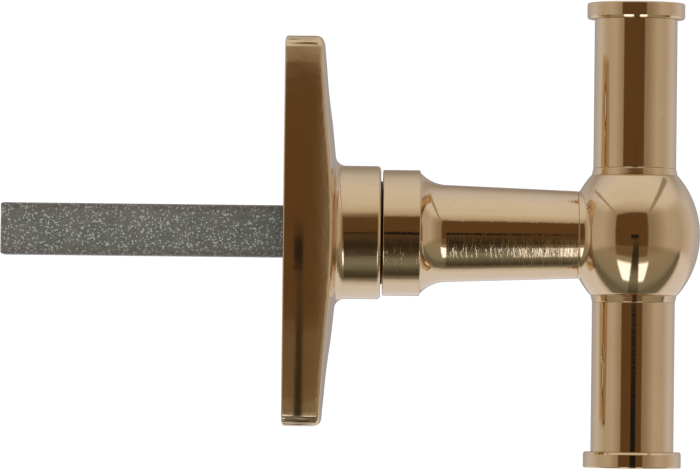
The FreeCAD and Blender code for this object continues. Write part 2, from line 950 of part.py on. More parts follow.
def make_end_cap(doc, side):
    """Flanged cap with a spigot in the arm and a blind thread for the tie rod."""
    foot, start, end = size("cap_spigot_end"), size("arm_end"), size("cap_end")
    rod, bore, rim = size("stud_radius"), size("arm_bore"), size("cap_radius")
    edge = size("edge_break")
    return grip_piece(
        doc,
        f"{side}_end_cap",
        [
            (rod, foot),
            (bore - edge, foot),
            (bore, foot + edge),
            (bore, start),
            (rim - edge, start),
            (rim, start + edge),
            (rim, end - edge),
            (rim - edge, end),
            (0.0, end),
            (0.0, size("rod_hole_end")),
            (rod, size("rod_hole_end")),
        ],
    )


def make_parts(doc):
    parts = [
        make_rose_plate(doc),
        make_journal_bush(doc),
        make_cover_plate(doc),
        make_cover_screws(doc),
        make_detent_spring(doc, "upper_detent_spring", 1),
        make_detent_spring(doc, "lower_detent_spring", -1),
        make_handle_neck(doc),
        make_square_spindle(doc),
        make_spindle_pin(doc),
        make_detent_cam(doc),
        make_retaining_ring(doc),
        make_thrust_washer(doc),
        make_neck_stud(doc),
        make_grip_ball(doc),
        make_tie_rod(doc),
    ]
    for side in ("upper", "lower"):
        parts.append(make_foot_ring(doc, side))
        parts.append(make_arm(doc, side))
        parts.append(make_end_cap(doc, side))
    return parts


def require_sound(doc, parts):
    """Stops at any feature that failed and at any piece without a sound solid."""
    doc.recompute()
    for item in doc.Objects:
        if "Invalid" in item.State or "Error" in item.State:
            raise RuntimeError(f"{item.Name} failed: {item.State}")
    for part in parts:
        if part.Shape.isNull() or not part.Shape.isValid() or not part.Shape.Solids:
            raise RuntimeError(f"{part.Label} has no sound solid")


def main():
    doc = FreeCAD.newDocument("window_handle")
    driving_sheet(doc)
    parts = make_parts(doc)
    require_sound(doc, parts)
    os.makedirs("parts", exist_ok=True)
    for part in parts:
        part.Shape.exportStep(os.path.join("parts", f"{part.Label}.step"))
        box = part.Shape.optimalBoundingBox(False)
        print(
            f"{part.Label}: {len(part.Shape.Solids)} solid, {part.Shape.Volume:.1f} mm3, "
            f"X {box.XMin:.2f}..{box.XMax:.2f} Y {box.YMin:.2f}..{box.YMax:.2f} "
            f"Z {box.ZMin:.2f}..{box.ZMax:.2f}"
        )


main()
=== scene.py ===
"""Looks of the T-bar window handle: polished brass, a zinc-plated spindle and a soft light tent."""

import math
from collections import namedtuple

import bmesh
import bpy
from mathutils import Matrix, Vector


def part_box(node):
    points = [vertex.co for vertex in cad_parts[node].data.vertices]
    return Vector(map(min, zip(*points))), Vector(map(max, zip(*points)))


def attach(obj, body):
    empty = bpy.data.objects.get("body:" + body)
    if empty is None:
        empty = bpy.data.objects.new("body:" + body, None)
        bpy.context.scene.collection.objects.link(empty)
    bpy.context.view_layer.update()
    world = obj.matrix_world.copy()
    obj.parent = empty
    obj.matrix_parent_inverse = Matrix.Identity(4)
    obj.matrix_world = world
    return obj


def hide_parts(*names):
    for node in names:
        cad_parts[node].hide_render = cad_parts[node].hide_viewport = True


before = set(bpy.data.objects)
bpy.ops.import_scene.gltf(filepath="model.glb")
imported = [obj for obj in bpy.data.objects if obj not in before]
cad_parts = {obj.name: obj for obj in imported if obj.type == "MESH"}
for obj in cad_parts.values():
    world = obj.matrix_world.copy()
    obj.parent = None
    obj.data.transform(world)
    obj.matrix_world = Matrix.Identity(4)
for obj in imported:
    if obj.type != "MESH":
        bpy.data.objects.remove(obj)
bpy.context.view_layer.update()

MM = 0.001

# Places read from the parts in model.glb, in metres.
NECK_LOW, NECK_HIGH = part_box("handle_neck")
BALL_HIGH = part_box("grip_ball")[1]
RING_LOW, RING_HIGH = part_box("upper_foot_ring")
ARM_LOW, ARM_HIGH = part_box("upper_arm")
CAP_LOW, CAP_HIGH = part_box("upper_end_cap")
SPINDLE_LOW, SPINDLE_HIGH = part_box("square_spindle")
ROSE_LOW, ROSE_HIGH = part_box("rose_plate")
STUD_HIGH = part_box("neck_stud")[1]

BAR_X = (ARM_LOW.x + ARM_HIGH.x) / 2
COLLAR_RADIUS = NECK_HIGH.y
COLLAR_START = ROSE_HIGH.x + 0.27 * MM
COLLAR_END = COLLAR_START + 5.08 * MM
JOURNAL_RADIUS = 6.0 * MM
SOCKET_RADIUS = 4.96 * MM
COVE_RADIUS = 5.0 * MM
TAPER_START = COLLAR_END + 3.8 * MM
TAPER_RADIUS = 6.58 * MM
NECK_END_RADIUS = 5.94 * MM
STUD_RADIUS = STUD_HIGH.y
BALL_RADIUS = BALL_HIGH.y
SEAT_RADIUS = RING_HIGH.y
ARM_RADIUS = ARM_HIGH.y
CAP_RADIUS = CAP_HIGH.y

# The rose's long sides: their curve seen from the front, and their crown from back to front.
SIDE_RADIUS = 104.0 * MM
WALL_RADIUS = 10.0 * MM
WALL_MIDDLE = 2.2 * MM
WALL_SLOPE = 0.21
# Shares of the rose's half width: the crown starts at the first and is full after the second.
CROWN_START = 0.80
CROWN_FULL = 0.98
# The rose's ends, how far in they are thinned, and by what share of a full round.
END_ROUND = 1.0 * MM
END_THICKNESS = 5.2 * MM
END_SHARE = 0.7
END_SLICES = 8
# At the back, the ends are thinned by this share of what they are thinned by in front.
BACK_SHARE = 0.5
# Slices that let the rose's curves be shaped, and the height below which its walls are sliced.
LENGTH_SLICE = 1.0 * MM
WALL_SLICE = 0.2 * MM
WALL_TOP = 7.0 * MM
WELD = 1e-6
SLICE_WELD = 1e-7

SHARP_ANGLE = math.radians(28)

# How finely the turned pieces, the cove, the ball, its fillet and the rounded corners are divided.
TURNS = 256
COVE_STEPS = 24
BALL_TURNS = 288
BALL_STEPS = 72
FILLET_TURNS = 192
FILLET_STEPS = 12
ROUND_STEPS = 6

# The fillet between neck and ball. Its radius is searched for between two limits by halving. The
# ball is probed out to a share of that radius, and the fillet runs a little into the ball.
LEAST_FILLET = 0.15 * MM
MOST_FILLET = 3.5 * MM
HALVINGS = 26
PROBES = 60
PROBE_REACH = 1.2
FILLET_OVERLAP = 1.06
# Faces nearer to the T-bar's axis than this many bore radii aren't on the ball's outside.
BORE_MARGIN = 1.6

# Roundings, the short flats beside them that keep their shading tight, and the foot rings' step.
EDGE_ROUND = 0.15 * MM
FINE_ROUND = 0.09 * MM
SUPPORT = 0.04 * MM
RING_STEP = 0.09 * MM


# Profiles: lists of (along, radius) points, closed into a ring of metal.


def arc_points(start, end, radius, bulge, steps):
    """Points on a circle's arc after start, up to end. A bulge of 1 swells away from the axis."""
    a, b = Vector(start), Vector(end)
    chord = b - a
    rise = math.sqrt(radius**2 - chord.length_squared / 4)
    side = Vector((-chord.y, chord.x)).normalized()
    if side.y < 0:
        side = -side
    centre = (a + b) / 2 - side * rise * bulge
    first = math.atan2(a.y - centre.y, a.x - centre.x)
    last = math.atan2(b.y - centre.y, b.x - centre.x)
    turn = (last - first + math.pi) % (2 * math.pi) - math.pi
    angles = [first + turn * step / steps for step in range(1, steps + 1)]
    return [(centre.x + radius * math.cos(t), centre.y + radius * math.sin(t)) for t in angles]


def rounded(corners):
    """A closed profile with its corners rounded. A corner is (along, radius, rounding)."""
    points = []
    for index, (along, radius, rounding) in enumerate(corners):
        here = Vector((along, radius))
        if rounding == 0:
            points.append(tuple(here))
            continue
        before = Vector(corners[index - 1][:2]) - here
        after = Vector(corners[(index + 1) % len(corners)][:2]) - here
        half_angle = before.angle(after) / 2
        setback = rounding / math.tan(half_angle)
        start = here + before.normalized() * setback
        end = here + after.normalized() * setback
        inward = (before.normalized() + after.normalized()).normalized()
        centre = here + inward * (rounding / math.sin(half_angle))
        points.append(tuple(start + before.normalized() * SUPPORT))
        first = math.atan2(start.y - centre.y, start.x - centre.x)
        last = math.atan2(end.y - centre.y, end.x - centre.x)
        turn = (last - first + math.pi) % (2 * math.pi) - math.pi
        for step in range(ROUND_STEPS + 1):
            angle = first + turn * step / ROUND_STEPS
            points.append((centre.x + rounding * math.cos(angle), centre.y + rounding * math.sin(angle)))
        points.append(tuple(end + after.normalized() * SUPPORT))
    return points


def turned(name, axis, profile, centre=(0, 0, 0), turns=TURNS):
    """A ring of metal turned from a closed profile about an axis, "X" or "Z"."""
    mesh = bpy.data.meshes.new(name)
    build = bmesh.new()
    rings = []
    for index in range(turns):
        angle = 2 * math.pi * index / turns
        across, over = math.cos(angle), math.sin(angle)
        ring = []
        for along, radius in profile:
            if axis == "X":
                place = (along, radius * across, radius * over)
            else:
                place = (radius * across, radius * over, along)
            ring.append(build.verts.new(Vector(place) + Vector(centre)))
        rings.append(ring)
    count = len(profile)
    for index in range(turns):
        here, there = rings[index], rings[(index + 1) % turns]
        for step in range(count):
            following = (step + 1) % count
            build.faces.new((here[step], here[following], there[following], there[step]))
    bmesh.ops.recalc_face_normals(build, faces=build.faces)
    build.to_mesh(mesh)
    build.free()
    mesh.shade_smooth()
    piece = bpy.data.objects.new(name, mesh)
    bpy.context.scene.collection.objects.link(piece)
    return piece


# Pieces of the handle.


def neck_profile():
    """Journal, collar, cove and taper outside, the spindle's and the stud's bores inside."""
    start, end = NECK_LOW.x, NECK_HIGH.x
    groove_start, groove_end = start + 0.6 * MM, start + 1.6 * MM
    groove_radius = JOURNAL_RADIUS - 0.4 * MM
    bore_end = SPINDLE_HIGH.x
    journal = [
        (start, SOCKET_RADIUS, 0),
        (start, JOURNAL_RADIUS, EDGE_ROUND),
        (groove_start, JOURNAL_RADIUS, 0),
        (groove_start, groove_radius, 0),
        (groove_end, groove_radius, 0),
        (groove_end, JOURNAL_RADIUS, 0),
        (COLLAR_START, JOURNAL_RADIUS, 0),
        (COLLAR_START, COLLAR_RADIUS, EDGE_ROUND),
        (COLLAR_END, COLLAR_RADIUS, EDGE_ROUND),
        (COLLAR_END, COLLAR_RADIUS - 2 * EDGE_ROUND, 0),
    ]
    points = rounded(journal)
    cove_start = points[-1]
    cove_end = (TAPER_START, TAPER_RADIUS)
    points += arc_points(cove_start, cove_end, COVE_RADIUS, -1, COVE_STEPS)
    tail = [
        (TAPER_START, TAPER_RADIUS, 0),
        (end, NECK_END_RADIUS, FINE_ROUND),
        (end, STUD_RADIUS, 0),
        (bore_end, STUD_RADIUS, 0),
        (bore_end, SOCKET_RADIUS, 0),
    ]
    return points + rounded(tail)[1:]


def ball_half_width(level):
    """Radius of the ball about the T-bar's axis, at a height above its middle."""
    half_height = BALL_HIGH.z
    sag = BALL_RADIUS - SEAT_RADIUS
    curve = (half_height**2 + sag**2) / (2 * sag)
    return BALL_RADIUS - curve + math.sqrt(curve**2 - level**2)


def ball_profile():
    """The ball's outside from its lower seat to its upper one, and the tie rod's bore."""
    half_height = BALL_HIGH.z
    outside = []
    for step in range(BALL_STEPS + 1):
        level = -half_height + 2 * half_height * step / BALL_STEPS
        outside.append((level, ball_half_width(level)))
    return [(-half_height, STUD_RADIUS)] + outside + [(half_height, STUD_RADIUS)]


def under_neck(place):
    """True on the ball's outside where the neck's end covers it."""
    outside = place.x < BAR_X - STUD_RADIUS * BORE_MARGIN
    return outside and math.hypot(place.y, place.z) < NECK_END_RADIUS


def make_ball():
    """The ball, with its socket for the neck cut away and a fillet that leads to the neck."""
    ball = turned("ball", "Z", ball_profile(), (BAR_X, 0, 0), BALL_TURNS)
    build = bmesh.new()
    build.from_mesh(ball.data)
    inside = [face for face in build.faces if under_neck(face.calc_center_median())]
    bmesh.ops.delete(build, geom=inside, context="FACES")
    add_neck_fillet(build)
    build.to_mesh(ball.data)
    build.free()
    ball.data.shade_smooth()
    return ball


def ball_face(radius, angle):
    """How far along X the ball's front lies, at a radius and an angle about the neck's axis."""
    level = radius * math.sin(angle)
    width = ball_half_width(level)
    return BAR_X - math.sqrt(max(width**2 - (radius * math.cos(angle)) ** 2, 0))


def fillet_gap(fillet, angle, start):
    """Least distance from the fillet's centre to the ball's front, less the fillet's radius."""
    centre = Vector((start, NECK_END_RADIUS + fillet))
    least = None
    for step in range(PROBES + 1):
        radius = NECK_END_RADIUS + fillet * PROBE_REACH * step / PROBES
        away = (Vector((ball_face(radius, angle), radius)) - centre).length
        if least is None or away < least[0]:
            least = (away, radius)
    return least[0] - fillet, least[1]


def fillet_section(angle):
    """The fillet's cut at an angle about the neck: from the neck's bore, over its lip, to the ball."""
    start = NECK_HIGH.x
    low, high = LEAST_FILLET, MOST_FILLET
    for _ in range(HALVINGS):
        middle = (low + high) / 2
        gap, touch = fillet_gap(middle, angle, start + FINE_ROUND)
        low, high = (middle, high) if gap > 0 else (low, middle)
    centre = Vector((start + FINE_ROUND, NECK_END_RADIUS + low))
    meeting = Vector((ball_face(touch, angle), touch)) - centre
    sweep = math.atan2(meeting.x, -meeting.y) * FILLET_OVERLAP
    section = [(start, STUD_RADIUS), (start, NECK_END_RADIUS - FINE_ROUND)]
    for step in range(FILLET_STEPS + 1):
        turn = sweep * step / FILLET_STEPS
        section.append((centre.x + low * math.sin(turn), centre.y - low * math.cos(turn)))
    return section


def add_neck_fillet(build):
    """A concave strip from the seam at the neck's end to where it meets the ball."""
    rings = []
    for index in range(FILLET_TURNS):
        angle = 2 * math.pi * index / FILLET_TURNS
        across, over = math.cos(angle), math.sin(angle)
        rings.append([build.verts.new((x, r * across, r * over)) for x, r in fillet_section(angle)])
    for index in range(FILLET_TURNS):
        here, there = rings[index], rings[(index + 1) % FILLET_TURNS]
        for step in range(len(here) - 1):
            build.faces.new((here[step], here[step + 1], there[step + 1], there[step]))
    bmesh.ops.recalc_face_normals(build, faces=build.faces)


def foot_ring_profile(sign):
    """A short sleeve that widens a little towards the ball."""
    inner, outer = RING_LOW.z, RING_HIGH.z
    corners = [
        (sign * inner, STUD_RADIUS, 0),
        (sign * inner, SEAT_RADIUS - RING_STEP, FINE_ROUND),
        (sign * outer, ARM_RADIUS, FINE_ROUND),
        (sign * outer, STUD_RADIUS, 0),
    ]
    return rounded(corners)


def arm_profile(sign):
    """A plain tube."""
    bore = 4.0 * MM
    corners = [
        (sign * ARM_LOW.z, bore, 0),
        (sign * ARM_LOW.z, ARM_RADIUS, FINE_ROUND),
        (sign * ARM_HIGH.z, ARM_RADIUS, FINE_ROUND),
        (sign * ARM_HIGH.z, bore, 0),
    ]
    return rounded(corners)


def cap_profile(sign):
    """A flange with a plug that sits in the arm, and a blind bore for the tie rod's end."""
    plug, rim, lid = 3.96 * MM, 0.22 * MM, 1.4 * MM
    bevel_height, bevel_depth, bevel_round = 0.30 * MM, 0.125 * MM, 0.05 * MM
    almost_axis = STUD_RADIUS / 100
    flange = ARM_HIGH.z
    floor = CAP_HIGH.z - lid
    corners = [
        (sign * CAP_LOW.z, STUD_RADIUS, 0),
        (sign * CAP_LOW.z, plug, EDGE_ROUND),
        (sign * flange, plug, 0),
        (sign * flange, CAP_RADIUS - bevel_depth, bevel_round),
        (sign * (flange + bevel_height), CAP_RADIUS, bevel_round),
        (sign * CAP_HIGH.z, CAP_RADIUS, rim),
        (sign * CAP_HIGH.z, almost_axis, 0),
        (sign * floor, almost_axis, 0),
        (sign * floor, STUD_RADIUS, 0),
    ]
    return rounded(corners)


def make_spindle():
    """The square bar, with its long edges slightly rounded by the drawing die."""
    rounding, nose = 0.25 * MM, 0.35 * MM
    build = bmesh.new()
    bmesh.ops.create_cube(build, size=1)
    low, high = SPINDLE_LOW, SPINDLE_HIGH
    size = high - low
    bmesh.ops.scale(build, vec=size, verts=build.verts)
    bmesh.ops.translate(build, vec=(low + high) / 2, verts=build.verts)
    long_edges = [e for e in build.edges if abs((e.verts[0].co - e.verts[1].co).x) > size.x / 2]
    bmesh.ops.bevel(build, geom=long_edges, offset=rounding, segments=4, affect="EDGES", profile=0.5)
    ends = [e for e in build.edges if all(abs(v.co.x - low.x) < SUPPORT for v in e.verts)]
    bmesh.ops.bevel(build, geom=ends, offset=nose, segments=3, affect="EDGES", profile=0.5)
    mesh = bpy.data.meshes.new("spindle_bar")
    build.to_mesh(mesh)
    build.free()
    piece = bpy.data.objects.new("spindle_bar", mesh)
    bpy.context.scene.collection.objects.link(piece)
    mesh.shade_smooth()
    mesh.set_sharp_from_angle(angle=SHARP_ANGLE)
    weigh_normals(piece)
    return piece


def make_rose():
    """The rose, smoothed: flat stretches stay flat and rounds shade as rounds."""
    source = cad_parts["rose_plate"]
    mesh = source.data.copy()
    mesh.name = "rose_body"
    build = bmesh.new()
    build.from_mesh(mesh)
    bmesh.ops.remove_doubles(build, verts=build.verts, dist=WELD)
    bmesh.ops.dissolve_degenerate(build, edges=build.edges, dist=WELD)
    slice_mesh(build, "z", ROSE_LOW.z + LENGTH_SLICE, ROSE_HIGH.z, LENGTH_SLICE, anywhere)
    for end in (ROSE_LOW.z, ROSE_HIGH.z - END_ROUND):
        slice_mesh(build, "z", end, end + END_ROUND, END_ROUND / END_SLICES, anywhere)
    slice_mesh(build, "x", WALL_SLICE, WALL_TOP, WALL_SLICE, on_wall)
    crown_sides(build)
    round_ends(build)
    build.to_mesh(mesh)
    build.free()
    mesh.shade_smooth()
    mesh.set_sharp_from_angle(angle=SHARP_ANGLE)
    piece = bpy.data.objects.new("rose_body", mesh)
    bpy.context.scene.collection.objects.link(piece)
    weigh_normals(piece)
    return piece


def slice_mesh(build, axis, start, end, step, wanted):
    """Cuts the wanted faces along parallel planes, so that they can be shaped."""
    normal = Vector((axis == "x", axis == "y", axis == "z"))
    level = start
    while level < end:
        faces = [face for face in build.faces if wanted(face)]
        edges = list({edge for face in faces for edge in face.edges})
        corners = list({vertex for face in faces for vertex in face.verts})
        bmesh.ops.bisect_plane(
            build,
            geom=corners + edges + faces,
            dist=SLICE_WELD,
            plane_co=normal * level,
            plane_no=normal,
        )
        level += step


def half_across(level):
    """Half the rose's width at a height above its middle."""
    return ROSE_HIGH.y - SIDE_RADIUS + math.sqrt(SIDE_RADIUS**2 - level**2)


def on_wall(face):
    """True for a face of the rose's long walls."""
    return all(abs(vertex.co.y) > half_across(vertex.co.z) - SUPPORT for vertex in face.verts)


def anywhere(face):
    return True


def crown_sides(build):
    """The rose's long sides are rounded across, most along their middle and less towards the rims."""
    bend = WALL_SLOPE * WALL_RADIUS
    for vertex in build.verts:
        place = abs(vertex.co.y) / half_across(vertex.co.z)
        near_side = min((place - CROWN_START) / (CROWN_FULL - CROWN_START), 1.0)
        if near_side <= 0:
            continue
        share = near_side**2 * (3 - 2 * near_side)
        away = vertex.co.x - WALL_MIDDLE
        sag = WALL_SLOPE * bend * math.log(math.cosh(away / bend))
        vertex.co.y -= math.copysign(sag * share, vertex.co.y)


def round_ends(build):
    """The rose's two ends are thinned towards their tips, as if by the polishing wheel."""
    for vertex in build.verts:
        inward = ROSE_HIGH.z - abs(vertex.co.z)
        if inward >= END_ROUND or vertex.co.x > ROSE_HIGH.x / 2:
            continue
        sag = END_ROUND - math.sqrt(END_ROUND**2 - (END_ROUND - inward) ** 2)
        towards_front = min(max(vertex.co.x / END_THICKNESS, 0.0), 1.0)
        vertex.co.x += sag * (BACK_SHARE * (1 - towards_front) - towards_front) * END_SHARE


def weigh_normals(piece):
    """Lets the large flat faces set the shading, so that only the rounds bend the light."""
    weigh = piece.modifiers.new("even_shading", "WEIGHTED_NORMAL")
    weigh.keep_sharp = True
    weigh.weight = 100


# Node trees.


class Tree:
    """Adds shader nodes one after another and links them by value."""

    def __init__(self, tree):
        self.nodes, self.links = tree.nodes, tree.links

    def new(self, kind, **settings):
        node = self.nodes.new(kind)
        for key, value in settings.items():
            setattr(node, key, value)
        return node

    def feed(self, socket, value):
        if isinstance(value, bpy.types.NodeSocket):
            self.links.new(value, socket)
        else:
            socket.default_value = value

    def math(self, operation, *values):
        node = self.new("ShaderNodeMath", operation=operation)
        for socket, value in zip(node.inputs, values):
            self.feed(socket, value)
        return node.outputs[0]

    def step(self, value, edge, soft):
        """0 below the edge and 1 above it, with a soft change between."""
        node = self.new("ShaderNodeMapRange", interpolation_type="SMOOTHSTEP")
        self.feed(node.inputs["Value"], value)
        self.feed(node.inputs["From Min"], edge - soft / 2)
        self.feed(node.inputs["From Max"], edge + soft / 2)
        return node.outputs["Result"]

    def band(self, value, low, high, soft):
        """1 between two edges and 0 outside them."""
        above = self.step(value, low, soft)
        below = self.math("SUBTRACT", 1.0, self.step(value, high, soft))
        return self.math("MULTIPLY", above, below)

    def scaled(self, value, low, high, new_low, new_high):
        node = self.new("ShaderNodeMapRange")
        self.feed(node.inputs["Value"], value)
        ends = {"From Min": low, "From Max": high, "To Min": new_low, "To Max": new_high}
        for name, number in ends.items():
            node.inputs[name].default_value = number
        return node.outputs["Result"]

    def mix(self, factor, first, second):
        node = self.new("ShaderNodeMix", data_type="RGBA")
        self.feed(node.inputs[0], factor)
        for socket, value in zip(node.inputs[6:8], (first, second)):
            self.feed(socket, value if isinstance(value, bpy.types.NodeSocket) else (*value, 1.0))
        return node.outputs[2]

    def ramp(self, value, low, high, stops):
        """A colour that follows a value: stops are (value, colour)."""
        node = self.new("ShaderNodeValToRGB")
        elements = node.color_ramp.elements
        while len(elements) < len(stops):
            elements.new(0.5)
        for element, (place, colour) in zip(elements, stops):
            element.position = (place - low) / (high - low)
            element.color = (*colour, 1.0)
        self.feed(node.inputs[0], self.scaled(value, low, high, 0.0, 1.0))
        return node.outputs["Color"]

    def place(self):
        return self.new("ShaderNodeTexCoord").outputs["Object"]

    def stretched(self, stretch):
        node = self.new("ShaderNodeVectorMath", operation="MULTIPLY")
        self.links.new(self.place(), node.inputs[0])
        node.inputs[1].default_value = stretch
        return node.outputs[0]

    def noise(self, vector, scale, detail=3.0, rough=0.55):
        node = self.new("ShaderNodeTexNoise")
        self.links.new(vector, node.inputs["Vector"])
        node.inputs["Scale"].default_value = scale
        node.inputs["Detail"].default_value = detail
        node.inputs["Roughness"].default_value = rough
        return node.outputs["Fac"]

    def cells(self, vector, scale):
        node = self.new("ShaderNodeTexVoronoi")
        self.links.new(vector, node.inputs["Vector"])
        node.inputs["Scale"].default_value = scale
        return node

    def bump(self, height, strength, distance, normal=None):
        node = self.new("ShaderNodeBump")
        node.inputs["Strength"].default_value = strength
        node.inputs["Distance"].default_value = distance
        self.feed(node.inputs["Height"], height)
        if normal is not None:
            self.links.new(normal, node.inputs["Normal"])
        return node.outputs["Normal"]


def new_material(name):
    material = bpy.data.materials.new(name)
    material.use_nodes = True
    tree = Tree(material.node_tree)
    return material, tree, material.node_tree.nodes["Principled BSDF"]


def grey(level):
    return (level, level, level)


# Materials.

BRASS = (0.76, 0.575, 0.370)
BRASS_WARM = (0.70, 0.49, 0.27)
BRASS_TARNISH = (0.60, 0.42, 0.24)
BRASS_RUBBED = (0.84, 0.66, 0.43)
ZINC_DARK = (0.23, 0.26, 0.26)
ZINC_LIGHT = (0.43, 0.46, 0.45)
ZINC_CLOUD = (0.50, 0.50, 0.46)
# Near white: the colour of the painted glints on the zinc.
ZINC_PAINTED_GLINT = (0.90, 0.98, 1.0)
ZINC_BROWNED = (0.26, 0.21, 0.17)
SPRING_DARK = (0.10, 0.11, 0.14)
SPRING_LIGHT = (0.24, 0.25, 0.30)

# Scuffs are stretched less than the polishing marks: no share of theirs is below this one.
LEAST_SCUFF_LAY = 0.22


def polished_brass(name, lay, ripple, dullness):
    """Mirror-polished brass: stained in specks, rubbed bright on edges, finely marked and scuffed.

    lay stretches the polishing marks, with its small numbers along them.
    """
    material, tree, shader = new_material(name)
    place = tree.place()
    cloud = tree.noise(place, scale=160.0, detail=4.0)
    colour = tree.mix(tree.scaled(cloud, 0.35, 0.75, 0.0, 0.35), BRASS, BRASS_WARM)
    specks = tree.noise(place, scale=1500.0, detail=2.0)
    stained = tree.math("MULTIPLY", tree.step(specks, 0.69, 0.06), 0.35)
    colour = tree.mix(stained, colour, BRASS_TARNISH)
    edges = tree.new("ShaderNodeNewGeometry").outputs["Pointiness"]
    rubbed = tree.math("MULTIPLY", tree.step(edges, 0.56, 0.08), 0.25)
    colour = tree.mix(rubbed, colour, BRASS_RUBBED)
    tree.feed(shader.inputs["Base Color"], colour)
    marks = tree.noise(tree.stretched(lay), scale=5200.0, detail=5.0, rough=0.65)
    swirl = tree.noise(place, scale=420.0, detail=4.0)
    smudge = tree.noise(place, scale=90.0, detail=3.0)
    rough = tree.math("MULTIPLY_ADD", tree.scaled(marks, 0.45, 0.8, 0.0, 1.0), 0.045, dullness)
    rough = tree.math("MULTIPLY_ADD", tree.scaled(smudge, 0.4, 0.8, 0.0, 1.0), 0.035, rough)
    tree.feed(shader.inputs["Roughness"], rough)
    shader.inputs["Metallic"].default_value = 1.0
    short_lay = [max(share, LEAST_SCUFF_LAY) for share in lay]
    scratches = tree.noise(tree.stretched(short_lay), scale=2300.0, detail=3.0, rough=0.6)
    scuffs = tree.step(scratches, 0.58, 0.12)
    fine = tree.bump(marks, ripple, 0.00002)
    scuffed = tree.bump(scuffs, ripple, 0.00003, fine)
    waves = tree.bump(swirl, ripple / 2, 0.0004, scuffed)
    tree.feed(shader.inputs["Normal"], waves)
    return material


def zinc_plating():
    """Dull zinc on drawn steel: grainy, with painted glints in scattered specks, and browned edges."""
    material, tree, shader = new_material("zinc_plated_steel_look")
    place = tree.place()
    along = tree.stretched((0.35, 1.0, 1.0))
    grain = tree.noise(along, scale=2600.0, detail=5.0, rough=0.7)
    cloud = tree.noise(place, scale=240.0, detail=4.0)
    colour = tree.mix(tree.scaled(grain, 0.3, 0.75, 0.0, 1.0), ZINC_DARK, ZINC_LIGHT)
    colour = tree.mix(tree.scaled(cloud, 0.4, 0.7, 0.0, 0.35), colour, ZINC_CLOUD)
    # Painted glints: scattered specks get a near-white colour, less metal and less roughness, so they
    # look like sparkle.
    glint_cells = tree.cells(place, 5600.0).outputs["Color"]
    spark = tree.new("ShaderNodeSeparateColor")
    tree.links.new(glint_cells, spark.inputs[0])
    bright = tree.step(spark.outputs[0], 0.86, 0.04)
    colour = tree.mix(tree.math("MULTIPLY", bright, 0.9), colour, ZINC_PAINTED_GLINT)
    parts = tree.new("ShaderNodeSeparateXYZ")
    tree.links.new(place, parts.inputs[0])
    across, over = (tree.math("ABSOLUTE", part) for part in parts.outputs[1:])
    towards_edge = tree.step(tree.math("MINIMUM", across, over), 2.7 * MM, 1.4 * MM)
    browned = tree.math("MULTIPLY", towards_edge, 0.45)
    colour = tree.mix(browned, colour, ZINC_BROWNED)
    tree.feed(shader.inputs["Base Color"], colour)
    rough = tree.math("MULTIPLY_ADD", grain, 0.25, 0.40)
    tree.feed(shader.inputs["Roughness"], tree.math("MULTIPLY_ADD", bright, -0.2, rough))
    tree.feed(shader.inputs["Metallic"], tree.math("MULTIPLY_ADD", bright, -0.4, 0.45))
    tree.feed(shader.inputs["Normal"], tree.bump(grain, 0.7, 0.00012))
    return material


def plain_metal(name, dark, light, rough, lay):
    """Machined or rolled steel with fine marks along its lay."""
    material, tree, shader = new_material(name)
    marks = tree.noise(tree.stretched(lay), scale=4000.0, detail=5.0, rough=0.65)
    cloud = tree.noise(tree.place(), scale=500.0, detail=3.0)
    colour = tree.mix(tree.scaled(marks, 0.3, 0.7, 0.0, 1.0), dark, light)
    colour = tree.mix(tree.scaled(cloud, 0.45, 0.75, 0.0, 0.3), colour, dark)
    tree.feed(shader.inputs["Base Color"], colour)
    tree.feed(shader.inputs["Roughness"], tree.math("MULTIPLY_ADD", marks, 0.2, rough))
    shader.inputs["Metallic"].default_value = 1.0
    tree.feed(shader.inputs["Normal"], tree.bump(marks, 0.3, 0.00003))
    return material


def black_nylon():
    material, tree, shader = new_material("black_nylon_look")
    grain = tree.noise(tree.place(), scale=3500.0, detail=4.0)
    colour = tree.mix(tree.scaled(grain, 0.3, 0.7, 0.0, 1.0), grey(0.018), grey(0.045))
    tree.feed(shader.inputs["Base Color"], colour)
    tree.feed(shader.inputs["Roughness"], tree.math("MULTIPLY_ADD", grain, 0.25, 0.40))
    tree.feed(shader.inputs["Normal"], tree.bump(grain, 0.25, 0.00004))
    return material


def paper(name):
    """Pale paper floor with a faint mottle, fading out towards its rim."""
    material, tree, shader = new_material(name)
    place = tree.place()
    mottle = tree.noise(place, scale=14.0, detail=4.0)
    colour = tree.mix(tree.scaled(mottle, 0.3, 0.7, 0.0, 1.0), grey(0.86), grey(0.90))
    tree.feed(shader.inputs["Base Color"], colour)
    shader.inputs["Roughness"].default_value = 0.9
    shader.inputs["Specular IOR Level"].default_value = 0.1
    tree.feed(shader.inputs["Normal"], tree.bump(mottle, 0.05, 0.001))
    distance = tree.new("ShaderNodeVectorMath", operation="LENGTH")
    tree.links.new(place, distance.inputs[0])
    start, end = (FLOOR_RADIUS * share for share in FLOOR_FADE)
    solid = tree.scaled(distance.outputs["Value"], start, end, 1.0, 0.0)
    tree.feed(shader.inputs["Alpha"], solid)
    return material


# Light tent. Its colours are what polished brass mirrors, so each side has its own.
# A place in it is told by the direction of the ray that meets it. Tilt is the ray's angle above
# the level front and swing its angle to the side, both 0 straight in front. Sideways and slope are
# the tangents of those angles.

PALE = (0.78, 0.78, 0.79)
WHITE_SIDE = (0.80, 0.82, 0.92)
OPENING = (0.131, 0.0725, 0.0316)
SILL = (0.185, 0.125, 0.068)
SEAM = (0.36, 0.31, 0.24)
BRIGHT_CLOTH = (1.85, 1.95, 2.25)
DARK_STAND = (0.062, 0.050, 0.028)
GREY_STAND = (0.22, 0.23, 0.19)
LENS = grey(0.012)
BACKDROP_STRENGTH = 1.05

